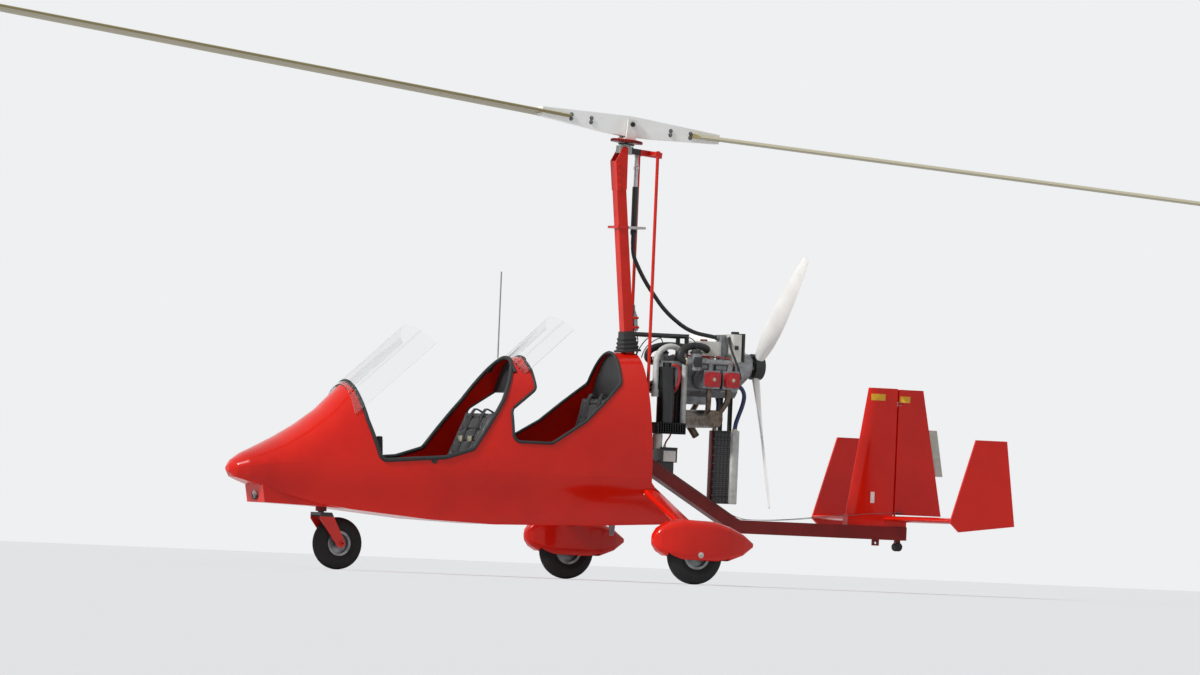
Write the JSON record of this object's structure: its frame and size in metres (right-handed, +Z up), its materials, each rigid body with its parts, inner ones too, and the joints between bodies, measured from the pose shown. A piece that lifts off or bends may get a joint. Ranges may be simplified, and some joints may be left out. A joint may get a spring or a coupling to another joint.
{
  "type": "tandem two-seat gyrocopter",
  "caption": "Open tandem gyrocopter in gloss red with a pod body, mast and teetering rotor, pusher propeller, tail on a low boom and tricycle gear with spats.",
  "frame": {"origin": "on the ground, straight below the rotor hub, at the centre of the footprint's bounding box", "axes": "+X aft along the fuselage, +Y to starboard, +Z up"},
  "size_m": [8.1959, 1.804, 3.1209],
  "materials": {
    "red_paint": "gloss",
    "red_tube": "gloss",
    "dark_red_tube": "gloss",
    "white_hub": "satin",
    "propeller_white": "satin",
    "hub_alloy": "satin",
    "black_moulding": "satin",
    "radiator_black": "satin",
    "blade_paint": "satin",
    "black_metal": "satin",
    "dark_moulding": "matte",
    "upholstery": "matte",
    "clear_screen": "gloss",
    "lamp_lens": "gloss",
    "steel": "brushed",
    "engine_alloy": "cast",
    "red_cover": "gloss",
    "white_moulding": "satin",
    "grey_moulding": "satin",
    "exhaust_steel": "heat stained",
    "tyre_rubber": "matte",
    "wheel_alloy": "satin",
    "black_rubber": "matte",
    "grey_hose": "matte"
  },
  "bodies": {
    "root": {"aft_cowl": "red_paint", "airbox": "white_moulding", "battery_box": "grey_moulding", "carburettors": "engine_alloy", "chin_box": "red_paint", "cockpit_controls": "black_metal", "cockpit_floor": "dark_moulding", "cockpit_hump": "red_paint", "coolant_tank": "grey_moulding", "crankcase": "engine_alloy", "cylinders": "engine_alloy", "engine_mount": "black_metal", "exhaust": "exhaust_steel", "fin": "red_paint", "gearbox": "engine_alloy", "instrument_panels": "dark_moulding", "intake_pipes": "engine_alloy", "keel_tube": "dark_red_tube", "landing_lamp": "lamp_lens", "main_axles": "steel", "main_gear_legs": "red_paint", "mast": "red_tube", "nose_cowl": "red_paint", "oil_cooler": "radiator_black", "oil_hose": "grey_hose", "oil_tank": "black_moulding", "pod_tub": "red_paint", "radiator": "radiator_black", "rear_bulkhead": "dark_moulding", "rocker_covers": "red_cover", "seat_backs": "upholstery", "seat_cushions": "upholstery", "spin_up_flex_shaft": "black_rubber", "spin_up_sleeve": "black_metal", "stabiliser": "red_paint", "tail_boom": "dark_red_tube", "wheel_spats": "red_paint", "whip_antenna": "black_metal", "windscreens": "clear_screen"},
    "nose_fork": {"nose_fork": "red_tube"},
    "nose_wheel": {"nose_tyre": "tyre_rubber", "nose_rim": "wheel_alloy"},
    "main_wheel_left": {"main_tyre_left": "tyre_rubber", "main_rim_left": "wheel_alloy"},
    "main_wheel_right": {"main_tyre_right": "tyre_rubber", "main_rim_right": "wheel_alloy"},
    "rudder": {"rudder": "red_paint", "trim_tab": "grey_moulding"},
    "propeller": {"propeller_hub": "hub_alloy", "propeller_blades": "propeller_white"},
    "rotor_head": {"head_block": "red_tube"},
    "push_rods": {"push_rods": "red_tube"},
    "rotor_spindle": {"rotor_spindle": "steel", "teeter_tower": "white_hub"},
    "rotor": {"hub_bar": "white_hub", "rotor_blades": "blade_paint"}
  },
  "joints": [
    {"name": "nose_steer", "type": "hinge", "parent": "root", "child": "nose_fork", "pos_m": [-1.866, 0, 0.33], "axis": [0, 0, 1], "range_deg": [-20, 20]},
    {"name": "nose_wheel_spin", "type": "hinge", "parent": "nose_fork", "child": "nose_wheel", "pos_m": [-1.756, 0, 0.15], "axis": [0, 1, 0], "continuous": true},
    {"name": "main_wheel_left_spin", "type": "hinge", "parent": "root", "child": "main_wheel_left", "pos_m": [0.125, -0.82, 0.17], "axis": [0, 1, 0], "continuous": true},
    {"name": "main_wheel_right_spin", "type": "hinge", "parent": "root", "child": "main_wheel_right", "pos_m": [0.125, 0.82, 0.17], "axis": [0, 1, 0], "continuous": true},
    {"name": "rudder_turn", "type": "hinge", "parent": "root", "child": "rudder", "pos_m": [1.854, 0, 0.6], "axis": [0, 0, 1], "range_deg": [-25, 25]},
    {"name": "propeller_spin", "type": "hinge", "parent": "root", "child": "propeller", "pos_m": [0.896, 0, 1.28], "axis": [1, 0, 0], "continuous": true},
    {"name": "head_pitch", "type": "hinge", "parent": "root", "child": "rotor_head", "pos_m": [-0.0317, 0, 2.49835], "axis": [0, 1, 0], "range_deg": [-5, 12]},
    {"name": "push_rod_swing", "type": "hinge", "parent": "rotor_head", "child": "push_rods", "pos_m": [0.1376, 0, 2.48294], "axis": [0, 1, 0], "range_deg": [-12, 5]},
    {"name": "rotor_spin", "type": "hinge", "parent": "rotor_head", "child": "rotor_spindle", "pos_m": [0, 0, 2.626], "axis": [0.0906, 0, 0.9959], "continuous": true},
    {"name": "rotor_teeter", "type": "hinge", "parent": "rotor_spindle", "child": "rotor", "pos_m": [0.00181, 0, 2.64592], "axis": [0, 1, 0], "range_deg": [-7, 7]}
  ],
  "couplings": [
    {"joint": "push_rod_swing", "follows": "head_pitch", "ratio": -1}
  ]
}
